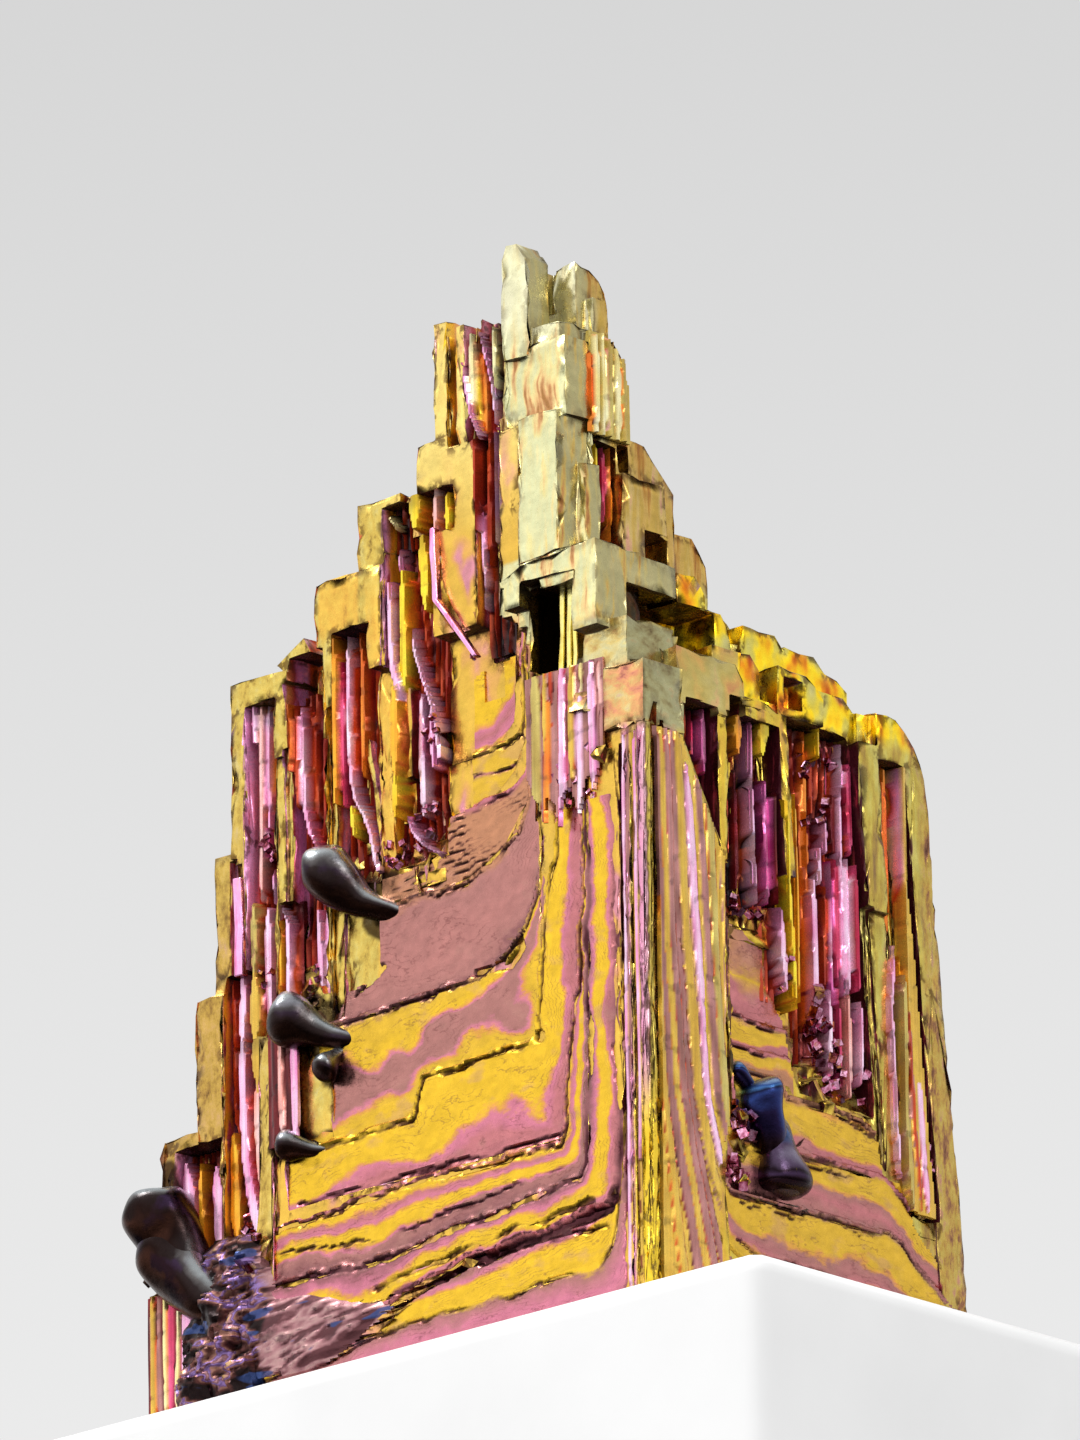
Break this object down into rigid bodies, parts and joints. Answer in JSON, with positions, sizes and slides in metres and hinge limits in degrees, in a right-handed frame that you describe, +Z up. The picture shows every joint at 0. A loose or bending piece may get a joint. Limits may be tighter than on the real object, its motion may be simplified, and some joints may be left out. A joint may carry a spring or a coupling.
{
  "type": "bismuth hopper crystal",
  "caption": "Stair-stepped bismuth hopper crystal: square growth terraces rise to a tower, with upright channels and set drips of melt; stands on a flat cut as a display piece.",
  "frame": {"origin": "on the flat cut that the crystal stands on, under the middle of its box", "axes": "+Z up towards the tower; the broad stepped face looks towards -Y, the narrow face towards +X"},
  "size_m": [0.0398, 0.0282, 0.0614],
  "materials": {
    "oxidised_bismuth": "metallic, with thin oxide colours from gold through rose to violet"
  },
  "bodies": {
    "root": {"hopper_crystal": "oxidised_bismuth"}
  },
  "joints": []
}
